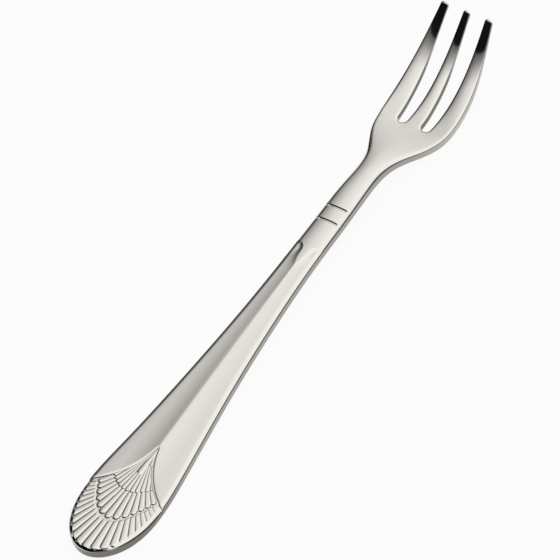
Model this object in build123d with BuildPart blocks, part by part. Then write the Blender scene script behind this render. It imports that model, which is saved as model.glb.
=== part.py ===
"""Oyster fork: a three-tined cocktail fork, struck from one strip of stainless steel.

Millimetres. +X is the fork's right, +Y runs from the handle's end to the tine tips, and +Z is up, with the
fork lying face up. The origin is on the table, under the middle of the fork's length.
"""
import os
from math import cos, radians, sin, sqrt

from build123d import *

# Overall length, from the handle's end to the tine tips
LENGTH = 150.0

# Handle: distances from its end, and widths there
FAN_WIDEST_AT = 14.5
FAN_WIDTH = 19.1
LOWER_SHAFT_AT = 27.0
LOWER_SHAFT_WIDTH = 16.9
MIDDLE_SHAFT_AT = 48.0
MIDDLE_SHAFT_WIDTH = 11.8
UPPER_SHAFT_WIDTH = 8.6

# Head, neck and collar: lengths that follow each other back from the tine tips, and widths there
TIP_SPAN = 13.3
TINE_MIDDLE_TO_TIP = 7.0
TINE_LENGTH = 25.3
HEAD_WIDEST_PAST_ROOT = 6.3
HEAD_WIDTH = 17.7
SHOULDER_LENGTH = 4.7
SHOULDER_WIDTH = 14.4
FLARE_LENGTH = 6.5
FLARE_WIDTH = 7.7
NECK_LENGTH = 10.0
NECK_WIDTH = 6.3
COLLAR_PAST_NECK = 7.9
COLLAR_WIDTH = 6.5
GRIP_LENGTH = 10.6
GRIP_WIDTH = 6.95

# Height of the underside over the table, at the sides of the fork
PAD_LENGTH = 6.0
FAN_RISE = 0.5
LOWER_SHAFT_RISE = 0.85
MIDDLE_SHAFT_RISE = 1.85
UPPER_SHAFT_RISE = 2.65
GRIP_RISE = 3.3
COLLAR_RISE = 3.5
NECK_RISE = 3.6
FLARE_RISE = 2.7
SHOULDER_RISE = 1.55
HEAD_RISE = 1.3
TINE_BEND_RISE = 3.35
TINE_MIDDLE_RISE = 7.2
TIP_RISE = 12.0

# Thickness at the sides of the fork
END_THICKNESS = 1.9
SHAFT_THICKNESS = 2.05
NECK_THICKNESS = 2.1
HEAD_THICKNESS = 2.0
TIP_THICKNESS = 1.6

# Height of the middle of the face over its sides: a crown on the handle, a dish in the head
SHAFT_CROWN = 0.6
NECK_CROWN = 0.5
SHOULDER_DISH = 0.5
BOWL_DISH = 0.8
HEAD_DISH = 0.7
TINE_BEND_DISH = 0.4
TINE_MIDDLE_DISH = 0.15

# The bowl's underside is worn flat where it stands on the table
BOWL_WEAR = 0.03

# Slots between the tines
SLOT_ROOT_WIDTH = 2.4
SLOT_PITCH = 6.1
SLOT_BOW = 0.35
OUTER_TIP_WIDTH = 1.85
MIDDLE_TIP_WIDTH = 1.6
TIP_ROUNDING = 0.7

# Two engraved grooves, one at each end of the collar
COLLAR_LENGTH = 3.8
GROOVE_WIDTH = 0.45
GROOVE_DEPTH = 0.25

# Scooped flutes on both sides of the shaft's central ridge, from the grip down to the fan
FLUTE_START_RADIUS = 2.7
FLUTE_START_FROM_AXIS = 2.6
FLUTE_END_RADIUS = 38.0
FLUTE_END_FROM_AXIS = 7.1
FLUTE_FLOOR = 0.05

# Struck fan at the handle's end: a sunk field with a curved border
FAN_APEX_AT = 29.0
FAN_CORNER_AT = 16.0
FAN_BOW_AT = 21.7
FAN_BOW_FROM_AXIS = 3.2
FAN_STEP = 0.2

# Petals of the fan: half-round ribs that widen from a tier's centre to their rounded ends
PETAL_ROUNDNESS = 0.77
PETAL_START = 3.0
RIM_LEDGE = 0.45
OUTER_PETALS = 22
OUTER_PETAL_ANGLE = 7.6
MIDDLE_PETALS = 13
MIDDLE_PETAL_ANGLE = 7.5
MIDDLE_TIER_BELOW_APEX = 7.0
MIDDLE_TIER_REACH = 13.1
MIDDLE_TIER_BEND = 0.139
MIDDLE_TIER_LIFT = 0.25
INNER_PETALS = 9
INNER_PETAL_ANGLE = 6.3
INNER_TIER_BELOW_APEX = 1.5
INNER_TIER_REACH = 11.0
INNER_TIER_BEND = 0.095
INNER_TIER_LIFT = 0.45
LEAF_START = 1.2
LEAF_REACH = 7.3
LEAF_ANGLE = 18.0
LEAF_LIFT = 0.5

# Stock left outside the finished outline while the fork is shaped
TRIM = 1.0


def from_end(distance):
    """Y of a place measured from the handle's end."""
    return distance - LENGTH / 2


def across(y):
    """Plane straight across the fork at y, facing the handle's end."""
    return Plane.XZ.offset(-y)


# Places along the fork, from the tips back to the shaft
TIP = LENGTH / 2
TINE_MIDDLE = TIP - TINE_MIDDLE_TO_TIP
ROOT = TIP - TINE_LENGTH
HEAD = ROOT + HEAD_WIDEST_PAST_ROOT
TINE_BEND = (HEAD + TINE_MIDDLE) / 2
SHOULDER = ROOT - SHOULDER_LENGTH
FLARE = SHOULDER - FLARE_LENGTH
NECK = FLARE - NECK_LENGTH
COLLAR = NECK - COLLAR_PAST_NECK
COLLAR_TOP = COLLAR + COLLAR_LENGTH / 2
COLLAR_BOTTOM = COLLAR - COLLAR_LENGTH / 2
GRIP = COLLAR - GRIP_LENGTH
MIDDLE_SHAFT = from_end(MIDDLE_SHAFT_AT)
UPPER_SHAFT = (MIDDLE_SHAFT + GRIP) / 2
LOWER_SHAFT = from_end(LOWER_SHAFT_AT)
FAN_WIDEST = from_end(FAN_WIDEST_AT)
FAN_CORNER = from_end(FAN_CORNER_AT)

# Slope of the tines at their tips
tip_slope = (TIP_RISE - TINE_MIDDLE_RISE) / TINE_MIDDLE_TO_TIP

# Cross-sections: y, width, rise of the underside, thickness, crown of the face, belly of the underside
SECTIONS = [
    (from_end(-TRIM), FAN_WIDTH, END_THICKNESS - SHAFT_THICKNESS, SHAFT_THICKNESS, SHAFT_CROWN, 0),
    (from_end(PAD_LENGTH), FAN_WIDTH, 0, SHAFT_THICKNESS, SHAFT_CROWN, 0),
    (FAN_WIDEST, FAN_WIDTH, FAN_RISE, SHAFT_THICKNESS, SHAFT_CROWN, 0),
    (LOWER_SHAFT, LOWER_SHAFT_WIDTH, LOWER_SHAFT_RISE, SHAFT_THICKNESS, SHAFT_CROWN, 0),
    (MIDDLE_SHAFT, MIDDLE_SHAFT_WIDTH, MIDDLE_SHAFT_RISE, SHAFT_THICKNESS, SHAFT_CROWN, 0),
    (UPPER_SHAFT, UPPER_SHAFT_WIDTH, UPPER_SHAFT_RISE, SHAFT_THICKNESS, SHAFT_CROWN, 0),
    (GRIP, GRIP_WIDTH, GRIP_RISE, SHAFT_THICKNESS, NECK_CROWN, 0),
    (COLLAR, COLLAR_WIDTH, COLLAR_RISE, SHAFT_THICKNESS, NECK_CROWN, 0),
    (NECK, NECK_WIDTH, NECK_RISE, NECK_THICKNESS, NECK_CROWN, 0),
    (FLARE, FLARE_WIDTH, FLARE_RISE, NECK_THICKNESS, 0, 0),
    (SHOULDER, SHOULDER_WIDTH, SHOULDER_RISE, HEAD_THICKNESS, -SHOULDER_DISH, SHOULDER_DISH),
    (ROOT, HEAD_WIDTH, BOWL_DISH - BOWL_WEAR, HEAD_THICKNESS, -BOWL_DISH, BOWL_DISH),
    (HEAD, HEAD_WIDTH, HEAD_RISE, HEAD_THICKNESS, -HEAD_DISH, HEAD_DISH),
    (TINE_BEND, HEAD_WIDTH, TINE_BEND_RISE, HEAD_THICKNESS, -TINE_BEND_DISH, TINE_BEND_DISH),
    (TINE_MIDDLE, HEAD_WIDTH, TINE_MIDDLE_RISE, TIP_THICKNESS, -TINE_MIDDLE_DISH, TINE_MIDDLE_DISH),
    (TIP, HEAD_WIDTH, TIP_RISE, TIP_THICKNESS, 0, 0),
    (TIP + TRIM, HEAD_WIDTH, TIP_RISE + tip_slope * TRIM, TIP_THICKNESS, 0, 0),
]

# Slot between two tines: its round root, and its mouth between the tips
slot_root = ROOT + SLOT_ROOT_WIDTH / 2
slot_middle = SLOT_PITCH / 2
slot_inner = slot_middle - SLOT_ROOT_WIDTH / 2
slot_outer = slot_middle + SLOT_ROOT_WIDTH / 2
mouth_inner = MIDDLE_TIP_WIDTH / 2
mouth_outer = TIP_SPAN / 2 - OUTER_TIP_WIDTH
slot_bow = ((slot_outer + mouth_outer) / 2 + SLOT_BOW, (slot_root + TIP) / 2)
tip_rounding = min(TIP_ROUNDING, 0.45 * OUTER_TIP_WIDTH, 0.45 * MIDDLE_TIP_WIDTH)

# The whole strip: shaped along its length, cut to its outline, and engraved at the collar
with BuildPart() as strip:
    for y, width, rise, thickness, crown, belly in SECTIONS:
        side = width / 2 + TRIM
        past_side = 1 - (side / (width / 2)) ** 2
        face_side = rise + thickness + crown * past_side
        face_top = 2 * (rise + thickness + crown) - face_side
        under_side = rise - belly * past_side
        under_low = 2 * (rise - belly) - under_side
        with BuildSketch(across(y)):
            with BuildLine():
                Bezier((-side, face_side), (0, face_top), (side, face_side))
                Line((side, face_side), (side, under_side))
                Bezier((side, under_side), (0, under_low), (-side, under_side))
                Line((-side, under_side), (-side, face_side))
            make_face()
    loft()
    with BuildSketch(Plane.XY.offset(-TRIM)) as outline:
        with BuildLine():
            EllipticalCenterArc((0, FAN_WIDEST), FAN_WIDTH / 2, FAN_WIDEST_AT, start_angle=270, arc_size=90)
            Spline(
                (FAN_WIDTH / 2, FAN_WIDEST),
                (LOWER_SHAFT_WIDTH / 2, LOWER_SHAFT),
                (MIDDLE_SHAFT_WIDTH / 2, MIDDLE_SHAFT),
                (UPPER_SHAFT_WIDTH / 2, UPPER_SHAFT),
                (GRIP_WIDTH / 2, GRIP),
                (NECK_WIDTH / 2, NECK),
                (FLARE_WIDTH / 2, FLARE),
                (SHOULDER_WIDTH / 2, SHOULDER),
                (HEAD_WIDTH / 2, HEAD),
                (TIP_SPAN / 2, TIP),
                tangents=[(0, 1), ((TIP_SPAN - HEAD_WIDTH) / 2, TIP - HEAD)],
            )
            Line((TIP_SPAN / 2, TIP), (0, TIP))
            Line((0, TIP), (0, from_end(0)))
        make_face()
        with BuildLine():
            Line((mouth_inner, TIP), (slot_inner, slot_root))
            ThreePointArc((slot_inner, slot_root), (slot_middle, ROOT), (slot_outer, slot_root))
            ThreePointArc((slot_outer, slot_root), slot_bow, (mouth_outer, TIP))
            Line((mouth_outer, TIP), (mouth_inner, TIP))
        make_face(mode=Mode.SUBTRACT)
        mirror(about=Plane.YZ)
        fillet(outline.vertices().group_by(Axis.Y)[-1], tip_rounding)
    extrude(amount=TIP_RISE + TIP_THICKNESS + 3 * TRIM, mode=Mode.INTERSECT)
    split(bisect_by=Plane.XY, keep=Keep.TOP)
    groove_half = COLLAR_WIDTH / 2 + TRIM
    groove_middle = COLLAR_RISE + SHAFT_THICKNESS + NECK_CROWN - GROOVE_DEPTH
    groove_side = groove_middle - NECK_CROWN * (groove_half / (COLLAR_WIDTH / 2)) ** 2
    groove_top = 2 * groove_middle - groove_side
    groove_above = groove_middle + GROOVE_DEPTH + TRIM
    for groove in (COLLAR_BOTTOM, COLLAR_TOP):
        with BuildSketch(across(groove)):
            with BuildLine():
                Bezier((-groove_half, groove_side), (0, groove_top), (groove_half, groove_side))
                Line((groove_half, groove_side), (groove_half, groove_above))
                Line((groove_half, groove_above), (-groove_half, groove_above))
                Line((-groove_half, groove_above), (-groove_half, groove_side))
            make_face()
        extrude(amount=GROOVE_WIDTH / 2, both=True, mode=Mode.SUBTRACT)

# Room that the fan takes at the handle's end, as far as its curved border
fan_side = FAN_WIDTH / 2 + TRIM
with BuildPart() as fan_room:
    with BuildSketch(Plane.XY):
        with BuildLine():
            ThreePointArc(
                (0, from_end(FAN_APEX_AT)),
                (FAN_BOW_FROM_AXIS, from_end(FAN_BOW_AT)),
                (FAN_WIDTH / 2, FAN_CORNER),
            )
            Line((FAN_WIDTH / 2, FAN_CORNER), (fan_side, FAN_CORNER))
            Line((fan_side, FAN_CORNER), (fan_side, from_end(-TRIM)))
            Line((fan_side, from_end(-TRIM)), (0, from_end(-TRIM)))
            Line((0, from_end(-TRIM)), (0, from_end(FAN_APEX_AT)))
        make_face()
        mirror(about=Plane.YZ)
    extrude(amount=LOWER_SHAFT_RISE + SHAFT_THICKNESS + SHAFT_CROWN + TRIM)

# Sunk field under the petals, which slopes as the handle does
field_slope = (LOWER_SHAFT_RISE + SHAFT_THICKNESS - END_THICKNESS) / LOWER_SHAFT_AT
field = Plane(
    origin=(0, from_end(0), END_THICKNESS - FAN_STEP), x_dir=(1, 0, 0), z_dir=(0, -field_slope, 1)
)


def fan_angles(count, step):
    """Angles of a tier's petals, spread evenly about the handle's axis."""
    return [(index - (count - 1) / 2) * step for index in range(count)]


def rim_reach(angle):
    """Distance from the fan's widest place to the ledge inside its rim, along angle."""
    sideways = sin(radians(angle)) / (FAN_WIDTH / 2 - RIM_LEDGE)
    endways = cos(radians(angle)) / (FAN_WIDEST_AT - RIM_LEDGE)
    return 1 / sqrt(sideways**2 + endways**2)


def tier_reach(angle, reach, bend):
    """Distance from a tier's centre to its front edge, a parabola, along angle."""
    sideways = sin(radians(angle))
    endways = cos(radians(angle))
    return 2 * reach / (endways + sqrt(endways**2 + 4 * bend * reach * sideways**2))


# Every petal: the tier's centre, its angle, where it starts and ends, its spread and its lift
OUTER_TIER = [
    (FAN_WIDEST_AT, angle, PETAL_START, rim_reach(angle), OUTER_PETAL_ANGLE, 0)
    for angle in fan_angles(OUTER_PETALS, OUTER_PETAL_ANGLE)
]
MIDDLE_TIER = [
    (
        FAN_APEX_AT - MIDDLE_TIER_BELOW_APEX,
        angle,
        PETAL_START,
        tier_reach(angle, MIDDLE_TIER_REACH, MIDDLE_TIER_BEND),
        MIDDLE_PETAL_ANGLE,
        MIDDLE_TIER_LIFT,
    )
    for angle in fan_angles(MIDDLE_PETALS, MIDDLE_PETAL_ANGLE)
]
INNER_TIER = [
    (
        FAN_APEX_AT - INNER_TIER_BELOW_APEX,
        angle,
        PETAL_START,
        tier_reach(angle, INNER_TIER_REACH, INNER_TIER_BEND),
        INNER_PETAL_ANGLE,
        INNER_TIER_LIFT,
    )
    for angle in fan_angles(INNER_PETALS, INNER_PETAL_ANGLE)
]
LEAF = [(FAN_APEX_AT, 0, LEAF_START, LEAF_REACH, LEAF_ANGLE, LEAF_LIFT)]

# Petals on the field: each is a cone with a ball at its end, sunk until only its back shows
petal_sink = sqrt(PETAL_ROUNDNESS**2 - 0.25)
with BuildPart() as petals:
    for centre, angle, start, end, spread, lift in OUTER_TIER + MIDDLE_TIER + INNER_TIER + LEAF:
        widening = radians(spread)
        ball = end / (1 + widening / 2)
        start_radius = PETAL_ROUNDNESS * widening * start
        ball_radius = PETAL_ROUNDNESS * widening * ball
        out = Vector(sin(radians(angle)), -cos(radians(angle)), 0)
        first = field.from_local_coords(Vector(0, centre, lift - petal_sink * widening * start) + out * start)
        last = field.from_local_coords(Vector(0, centre, lift - petal_sink * widening * ball) + out * ball)
        length = (last - first).length
        spine = Plane(first, x_dir=(last - first).cross(field.z_dir), z_dir=field.z_dir)
        with BuildSketch(Plane(first, x_dir=spine.x_dir, z_dir=spine.x_dir.cross(last - first))):
            with BuildLine():
                Line((0, 0), (start_radius, 0))
                Line((start_radius, 0), (ball_radius, length))
                CenterArc((0, length), ball_radius, 0, 90)
                Line((0, length + ball_radius), (0, 0))
            make_face()
        revolve(axis=Axis(first, last - first))
    split(bisect_by=field, keep=Keep.TOP)

# Handle's end: the strip inside the fan's border, sunk to the field and carrying the petals
with BuildPart() as fan_end:
    add(strip.part)
    split(bisect_by=field, keep=Keep.BOTTOM)
    add(petals.part)
    add(fan_room.part, mode=Mode.INTERSECT)

# Shaft: the handle between the fan and the collar, with a flute scooped along each side of its ridge
flute_start_floor = GRIP_RISE + SHAFT_THICKNESS + FLUTE_FLOOR
flute_end_floor = FAN_RISE + SHAFT_THICKNESS + FLUTE_FLOOR
with BuildPart() as shaft:
    add(strip.part)
    split(bisect_by=across(COLLAR_BOTTOM), keep=Keep.TOP)
    add(fan_room.part, mode=Mode.SUBTRACT)
    for hand in (-1, 1):
        with BuildSketch(across(GRIP)):
            with Locations((hand * FLUTE_START_FROM_AXIS, flute_start_floor + FLUTE_START_RADIUS)):
                Circle(FLUTE_START_RADIUS)
        with BuildSketch(across(FAN_CORNER - TRIM)):
            with Locations((hand * FLUTE_END_FROM_AXIS, flute_end_floor + FLUTE_END_RADIUS)):
                Circle(FLUTE_END_RADIUS)
        loft(mode=Mode.SUBTRACT)
        with Locations((hand * FLUTE_START_FROM_AXIS, GRIP, flute_start_floor + FLUTE_START_RADIUS)):
            Sphere(FLUTE_START_RADIUS, mode=Mode.SUBTRACT)

# Collar: the band between the two grooves
with BuildPart() as collar:
    add(strip.part)
    split(bisect_by=across(COLLAR_TOP), keep=Keep.TOP)
    split(bisect_by=across(COLLAR_BOTTOM), keep=Keep.BOTTOM)

# Neck: the stem from the upper groove to the flare
with BuildPart() as neck:
    add(strip.part)
    split(bisect_by=across(FLARE), keep=Keep.TOP)
    split(bisect_by=across(COLLAR_TOP), keep=Keep.BOTTOM)

# Bowl: the dished head from the flare to the roots of the slots
with BuildPart() as bowl:
    add(strip.part)
    split(bisect_by=across(slot_root), keep=Keep.TOP)
    split(bisect_by=across(FLARE), keep=Keep.BOTTOM)

# Tines: what stands past the roots of the slots
with BuildPart() as tines:
    add(strip.part)
    split(bisect_by=across(slot_root), keep=Keep.BOTTOM)
tines_by_side = tines.solids().sort_by(Axis.X)
with BuildPart() as left_tine:
    add(tines_by_side[0])
with BuildPart() as middle_tine:
    add(tines_by_side[1])
with BuildPart() as right_tine:
    add(tines_by_side[2])

os.makedirs("parts", exist_ok=True)
pieces = {
    "fan_end": fan_end,
    "shaft": shaft,
    "collar": collar,
    "neck": neck,
    "bowl": bowl,
    "left_tine": left_tine,
    "middle_tine": middle_tine,
    "right_tine": right_tine,
}
for name, piece in pieces.items():
    piece.part.label = name
    export_step(piece.part, f"parts/{name}.step")
    print(f"{name}: {piece.part.volume:.1f} mm3, {len(piece.solids())} solid")
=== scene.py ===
# %% [markdown]
# # An oyster fork in polished steel
#
# The real fork is one strip of stainless steel. It is blanked to its outline, struck between dies, bent,
# and polished all over. The CAD frame that is loaded here holds its true size and its regions as separate
# solids. Those solids could be shown as they are, but polished steel is a mirror, and a mirror shows every
# facet, every razor edge and every joint line. So this lesson lays one closed skin over all of them, with
# worn edges and no seams, and then lights it as a photographer lights cutlery.

from math import radians

import bpy
import numpy as np
from mathutils import Matrix, Vector
from mathutils.geometry import delaunay_2d_cdt
from mathutils.kdtree import KDTree


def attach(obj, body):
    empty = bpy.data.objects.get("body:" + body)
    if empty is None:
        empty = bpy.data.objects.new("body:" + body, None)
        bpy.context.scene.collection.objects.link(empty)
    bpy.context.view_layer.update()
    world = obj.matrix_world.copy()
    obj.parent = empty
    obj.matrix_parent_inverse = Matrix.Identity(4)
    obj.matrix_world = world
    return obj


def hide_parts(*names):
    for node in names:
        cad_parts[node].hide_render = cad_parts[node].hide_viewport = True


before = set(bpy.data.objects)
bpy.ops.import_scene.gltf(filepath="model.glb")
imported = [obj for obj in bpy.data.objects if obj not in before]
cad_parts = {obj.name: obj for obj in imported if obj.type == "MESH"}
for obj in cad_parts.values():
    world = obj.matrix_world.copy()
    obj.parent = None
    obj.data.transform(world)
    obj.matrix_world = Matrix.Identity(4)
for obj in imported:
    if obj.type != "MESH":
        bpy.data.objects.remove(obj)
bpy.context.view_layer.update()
MM = 0.001  # in metres
print("frame nodes:", sorted(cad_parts))

# %% [markdown]
# ## Places along the fork
#
# A maker measures a fork along its length: where the fan ends, where the flutes start, where the collar
# sits, where the slots begin. The same places drive the solids, so the skin keeps to them. All sizes are in
# millimetres, +Y runs to the tine tips, and the middle of the length is at zero.

# %% Places and widths
LENGTH = 150.0
TIP = LENGTH / 2
END = -LENGTH / 2
TINE_MIDDLE = TIP - 7.0
ROOT = TIP - 25.3
HEAD = ROOT + 6.3
TINE_BEND = (HEAD + TINE_MIDDLE) / 2
SHOULDER = ROOT - 4.7
FLARE = SHOULDER - 6.5
NECK = FLARE - 10.0
COLLAR = NECK - 7.9
GRIP = COLLAR - 10.6
MIDDLE_SHAFT = END + 48.0
UPPER_SHAFT = (MIDDLE_SHAFT + GRIP) / 2
LOWER_SHAFT = END + 27.0
FAN_WIDEST = END + 14.5

FAN_WIDTH = 19.1
LOWER_SHAFT_WIDTH = 16.9
MIDDLE_SHAFT_WIDTH = 11.8
UPPER_SHAFT_WIDTH = 8.6
GRIP_WIDTH = 6.95
COLLAR_WIDTH = 6.5
NECK_WIDTH = 6.3
FLARE_WIDTH = 7.7
SHOULDER_WIDTH = 14.4
HEAD_WIDTH = 17.7
TIP_SPAN = 13.3
print(f"grip at {GRIP:.1f}, collar at {COLLAR:.1f}, slot roots at {ROOT:.1f} mm")

# %% [markdown]
# ## One smooth curve through a few sizes
#
# A struck strip bends evenly between the places where the die holds it. A cubic spline does the same: it
# passes through each given size and spreads the bend over the stretch between. Blender has curve objects
# for this, but here the numbers are needed at thousands of points at once, so a short spline in numpy is
# quicker.

# %% Spline through given sizes
def smooth_through(places, sizes):
    """Function that runs smoothly through each size at its place."""
    places = np.array(places, float)
    sizes = np.array(sizes, float)
    gaps = np.diff(places)
    steps = np.diff(sizes) / gaps
    system = np.eye(len(places))
    wanted = np.zeros(len(places))
    for k in range(1, len(places) - 1):
        system[k, k - 1 : k + 2] = gaps[k - 1], 2 * (gaps[k - 1] + gaps[k]), gaps[k]
        wanted[k] = 6 * (steps[k] - steps[k - 1])
    bend = np.linalg.solve(system, wanted)

    def at(place):
        k = np.clip(np.searchsorted(places, place) - 1, 0, len(gaps) - 1)
        before = place - places[k]
        after = places[k + 1] - place
        bow = (bend[k] * after**3 + bend[k + 1] * before**3) / (6 * gaps[k])
        low = (sizes[k] / gaps[k] - bend[k] * gaps[k] / 6) * after
        high = (sizes[k + 1] / gaps[k] - bend[k + 1] * gaps[k] / 6) * before
        return bow + low + high

    return at


hump = smooth_through([0, 1, 2], [0, 1, 0])
print("a curve through 0, 1 and 0, a quarter of the way along:", hump(0.5))

# %% Cross-sections of the strip
HANDLE_THICKNESS = 2.05
NECK_THICKNESS = 2.1
HEAD_THICKNESS = 2.0
TINE_THICKNESS = 1.35
TIP_THICKNESS = 1.0
FAN_FACE_CROWN = 0.52

# Each row: place, width, rise of the underside, thickness, crown of the face, belly of the underside
SECTIONS = np.array([
    (END - 1.0, FAN_WIDTH, -0.15, HANDLE_THICKNESS, FAN_FACE_CROWN, 0),
    (END + 6.0, FAN_WIDTH, 0, HANDLE_THICKNESS, FAN_FACE_CROWN, 0),
    (FAN_WIDEST, FAN_WIDTH, 0.5, HANDLE_THICKNESS, FAN_FACE_CROWN, 0),
    (LOWER_SHAFT, LOWER_SHAFT_WIDTH, 0.85, HANDLE_THICKNESS, FAN_FACE_CROWN, 0),
    (MIDDLE_SHAFT, MIDDLE_SHAFT_WIDTH, 1.85, HANDLE_THICKNESS, 0.42, 0),
    (UPPER_SHAFT, UPPER_SHAFT_WIDTH, 2.65, HANDLE_THICKNESS, 0.36, 0),
    (GRIP, GRIP_WIDTH, 3.3, HANDLE_THICKNESS, 0.38, 0),
    (COLLAR, COLLAR_WIDTH, 3.5, HANDLE_THICKNESS, 0.42, 0),
    (NECK, NECK_WIDTH, 3.6, NECK_THICKNESS, 0.44, 0),
    (FLARE, FLARE_WIDTH, 2.7, NECK_THICKNESS, 0.42, 0),
    (SHOULDER, SHOULDER_WIDTH, 1.55, HEAD_THICKNESS, 0.1, 0.5),
    (ROOT, HEAD_WIDTH, 0.77, HEAD_THICKNESS, -0.2, 0.8),
    (HEAD, HEAD_WIDTH, 1.3, HEAD_THICKNESS, -0.3, 0.7),
    (TINE_BEND, HEAD_WIDTH, 3.25, HEAD_THICKNESS, -0.2, 0.4),
    (TINE_MIDDLE, HEAD_WIDTH, 7.15, TINE_THICKNESS, -0.1, 0.15),
    (TIP, HEAD_WIDTH, 12.6, TIP_THICKNESS, 0, 0),
])
width_at, rise_at, thickness_at, crown_at, belly_at = (
    smooth_through(SECTIONS[:, 0], SECTIONS[:, k]) for k in range(1, 6)
)
print("cross-sections:", len(SECTIONS))

# %% [markdown]
# ## The outline
#
# Seen from above, the blank is a paddle with a round end, a slim neck and three tines with round tips. The
# outline could be drawn as a curve by hand. Building it from an ellipse, a spline and arcs keeps each
# stretch tied to a size that can be measured on the fork. Only the right half is worked out, and then
# mirrored.

# %% Round end and right side
TIP_ROUND = 0.55
LEAD_IN = [260, 330]  # points of the round end that lead the side's curve in, so that it leaves smoothly
tip_start = TIP - TIP_ROUND


def arc(centre, across, along, first, last, count):
    """Points on an ellipse, by angle in degrees from +X."""
    turn = np.radians(np.linspace(first, last, count))
    return np.stack([centre[0] + across * np.cos(turn), centre[1] + along * np.sin(turn)], 1)


end_round = arc((0, FAN_WIDEST), FAN_WIDTH / 2, FAN_WIDEST - END, -90, 0, 400)
guides = np.array([
    *end_round[LEAD_IN],
    (FAN_WIDTH / 2, FAN_WIDEST),
    (LOWER_SHAFT_WIDTH / 2, LOWER_SHAFT),
    (MIDDLE_SHAFT_WIDTH / 2, MIDDLE_SHAFT),
    (UPPER_SHAFT_WIDTH / 2, UPPER_SHAFT),
    (GRIP_WIDTH / 2, GRIP),
    (NECK_WIDTH / 2, NECK),
    (FLARE_WIDTH / 2, FLARE),
    (SHOULDER_WIDTH / 2, SHOULDER),
    (HEAD_WIDTH / 2, HEAD),
    (TIP_SPAN / 2, TIP),
])
chord = np.append(0, np.cumsum(np.hypot(*np.diff(guides, axis=0).T)))
reached = np.linspace(chord[len(LEAD_IN)], chord[-1], 6000)
side = np.stack([smooth_through(chord, guides[:, k])(reached) for k in (0, 1)], 1)
side = side[side[:, 1] < tip_start]
side[:, 0] = np.minimum(side[:, 0], FAN_WIDTH / 2)
print(f"narrowest place of the side: {2 * side[:, 0].min():.2f} mm wide")

# %% Tines, tips and slots
SLOT_WIDTH = 2.4
SLOT_MIDDLE = 3.05
SLOT_BOW = 0.3
OUTER_TIP_INSIDE = 4.75
MIDDLE_TIP_HALF = 0.85
slot_root = ROOT + SLOT_WIDTH / 2
slot_inner = SLOT_MIDDLE - SLOT_WIDTH / 2
slot_outer = SLOT_MIDDLE + SLOT_WIDTH / 2

up = np.linspace(tip_start, slot_root, 400)
up_share = (up - slot_root) / (TIP - slot_root)
bowed = 4 * SLOT_BOW * up_share * (1 - up_share)
inner_x = slot_outer * (1 - up_share) + OUTER_TIP_INSIDE * up_share + bowed
middle_x = slot_inner * (1 - up_share) + MIDDLE_TIP_HALF * up_share
outer_tine_inside = np.stack([inner_x, up], 1)
middle_tine_side = np.stack([middle_x, up], 1)[::-1]
tip_middle = (side[-1, 0] + inner_x[0]) / 2
outer_tip = arc((tip_middle, tip_start), side[-1, 0] - tip_middle, TIP_ROUND, 0, 180, 80)
slot_round = arc((SLOT_MIDDLE, slot_root), SLOT_WIDTH / 2, SLOT_WIDTH / 2, 0, -180, 120)
middle_tip = arc((0, tip_start), middle_x[0], TIP_ROUND, 0, 90, 40)
print(f"outer tips {2 * (side[-1, 0] - tip_middle):.2f} mm wide, middle tip {2 * middle_x[0]:.2f} mm")

# %% The whole outline
OUTLINE_STEP = 0.1


def evenly(points, spacing):
    """The same line, with its points spaced evenly."""
    reach = np.append(0, np.cumsum(np.hypot(*np.diff(points, axis=0).T)))
    places = np.linspace(0, reach[-1], max(2, round(reach[-1] / spacing)))
    return np.stack([np.interp(places, reach, points[:, k]) for k in (0, 1)], 1)


stretches = (side, outer_tip, outer_tine_inside, slot_round, middle_tine_side, middle_tip)
right_half = np.concatenate([end_round, *(stretch[1:] for stretch in stretches)])
right_half = evenly(right_half, OUTLINE_STEP)
outline = np.concatenate([right_half, right_half[-2:0:-1] * (-1, 1)])
print(f"outline: {len(outline)} points, {2 * outline[:, 0].max():.2f} mm wide")

# %% [markdown]
# ## Flutes
#
# A flute is struck into the handle on each side. It has a round, steep start under the collar, opens into a
# wide shallow hollow, and leaves a soft ridge along the middle. Boolean cuts could make it, but the skin is
# a height above every point of the outline, so the lower of two heights does the same job: wherever the
# flute lies under the crowned face, the flute shows.

# %% Height of the flutes
FLUTE_START = GRIP + 1.3
FLUTE_OPENING = (-1.0, 7.0)  # below the start, where the flute opens
FLUTE_LENGTH = 60.0
FLUTE_RADII = (1.5, 30.0, 45.0)  # of the hollow wall at the start, opened, and at the fan
FLUTE_FEET = (1.55, 3.4, 5.0)  # from the ridge to the foot of that wall, at the same three places
FLUTE_TILT = 0.03  # climb of the flute's floor for each mm from the edge
START_CORNER = 1.8  # radius of the round start, seen from above


def ramp(value, low, high):
    """Soft step from 0 to 1 between two values."""
    part = np.clip((value - low) / (high - low), 0, 1)
    return part**2 * (3 - 2 * part)


def flutes(x, y):
    """Height of the two flutes: steep and short where they start, wider and flatter towards the fan."""
    opening = ramp(FLUTE_START - y, *FLUTE_OPENING)
    down = np.clip((FLUTE_START - y) / FLUTE_LENGTH, 0, 1)
    starting, opened, at_fan = FLUTE_RADII
    hollow = starting * (opened / starting) ** opening * (at_fan / opened) ** down
    starting, opened, at_fan = FLUTE_FEET
    foot = starting + (opened - starting) * opening + (at_fan - opened) * down
    across = np.maximum(foot + START_CORNER - np.abs(x), 0)
    beyond = np.maximum(y - (FLUTE_START - START_CORNER), 0)
    into_wall = np.maximum(np.hypot(across, beyond) - START_CORNER, 0)
    climb = hollow - np.sqrt(np.maximum(hollow**2 - into_wall**2, 0))
    floor = rise_at(y) + thickness_at(y) + FLUTE_TILT * (width_at(y) / 2 - np.abs(x))
    return np.where(into_wall < hollow, floor + climb, np.inf)


print(f"flute at the middle of the shaft, 4 mm from the ridge: {flutes(4.0, MIDDLE_SHAFT):.2f} mm")

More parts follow.
